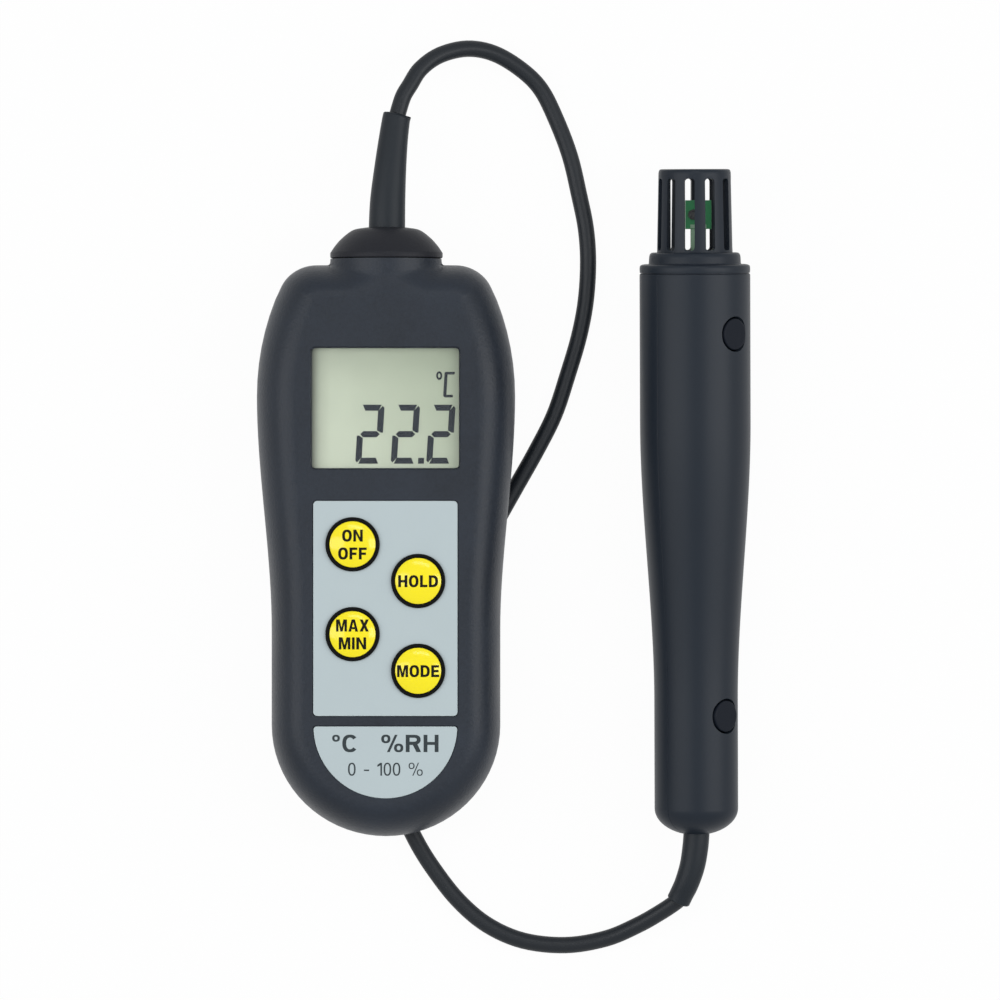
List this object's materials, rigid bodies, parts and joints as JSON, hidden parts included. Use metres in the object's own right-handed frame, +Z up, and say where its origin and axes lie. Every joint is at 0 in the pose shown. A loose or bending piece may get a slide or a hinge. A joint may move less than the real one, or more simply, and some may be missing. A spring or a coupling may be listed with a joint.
{
  "type": "thermo-hygrometer",
  "caption": "Hand-held thermo-hygrometer lying on its back, with a cord from its collar to a cylindrical humidity probe beside it.",
  "frame": {"origin": "centre of the flat foot on the back of the instrument's head, on the surface that the part lies on", "axes": "+Z up from the surface through the display, +Y along the instrument towards its cord end, +X towards the probe"},
  "size_m": [0.1097, 0.2036, 0.0266],
  "materials": {
    "case": "fine grained charcoal moulding",
    "probe_plastic": "satin charcoal moulding",
    "lens": "clear, slightly recessed",
    "lcd": "pale grey-green reflective cell",
    "lcd_ink": "dark slate figures",
    "natural_plastic": "unpainted moulding",
    "strip_rubber": "layered conductive rubber",
    "circuit_board": "green lacquered laminate",
    "chip": "black moulded package",
    "tin": "tinned steel",
    "panel": "pale grey printed film",
    "ring": "black",
    "key": "bright yellow, satin",
    "cell": "wrapped steel can",
    "nickel": "nickel plated",
    "boot_rubber": "satin black",
    "cord_rubber": "satin black jacket",
    "sensor_green": "bright green lacquered laminate",
    "sensor_lead": "pale green coated strip"
  },
  "bodies": {
    "instrument": {"front_case": "case", "rear_case": "case", "display_lens": "lens", "lcd_glass": "lcd", "lcd_segments": "lcd_ink", "lcd_holder": "natural_plastic", "contact_strips": "strip_rubber", "main_board": "circuit_board", "controller_chip": "chip", "board_parts": "tin", "probe_header": "natural_plastic", "keypad_panel": "panel", "key_rings": "ring", "snap_domes": "tin", "name_plate": "panel", "battery_cells": "cell", "battery_springs": "nickel", "battery_contacts": "nickel", "case_screws": "nickel", "neck_collar": "case", "instrument_boot": "boot_rubber", "cable_clamp": "natural_plastic", "instrument_lead": "cord_rubber", "cord": "cord_rubber", "handle_upper": "probe_plastic", "handle_lower": "probe_plastic", "handle_screws": "nickel", "screw_plugs": "probe_plastic", "nose_cap": "probe_plastic", "guard_seal": "strip_rubber", "sensor_carrier": "natural_plastic", "sensor_leads": "sensor_lead", "sensor_board": "sensor_green", "humidity_sensor": "chip", "probe_board": "circuit_board", "probe_lead": "cord_rubber", "cable_grip": "natural_plastic", "probe_boot": "boot_rubber"},
    "cover": {"battery_cover": "case"},
    "guard": {"sensor_guard": "probe_plastic"},
    "on_off": {"key_on_off": "key"},
    "hold": {"key_hold": "key"},
    "max_min": {"key_max_min": "key"},
    "mode": {"key_mode": "key"}
  },
  "joints": [
    {"name": "on_off_press", "type": "slide", "parent": "instrument", "child": "on_off", "axis": [0, 0, -1], "range_m": [0, 0.0004], "stiffness_N_per_m": 400, "springref_m": -0.0012},
    {"name": "hold_press", "type": "slide", "parent": "instrument", "child": "hold", "axis": [0, 0, -1], "range_m": [0, 0.0004], "stiffness_N_per_m": 400, "springref_m": -0.0012},
    {"name": "max_min_press", "type": "slide", "parent": "instrument", "child": "max_min", "axis": [0, 0, -1], "range_m": [0, 0.0004], "stiffness_N_per_m": 400, "springref_m": -0.0012},
    {"name": "mode_press", "type": "slide", "parent": "instrument", "child": "mode", "axis": [0, 0, -1], "range_m": [0, 0.0004], "stiffness_N_per_m": 400, "springref_m": -0.0012},
    {"name": "cover_slide", "type": "slide", "parent": "instrument", "child": "cover", "axis": [0, -1, 0], "range_m": [0, 0.048]},
    {"name": "guard_pull", "type": "slide", "parent": "instrument", "child": "guard", "axis": [-0.0035, 0.9993, 0.0367], "range_m": [0, 0.025]}
  ]
}
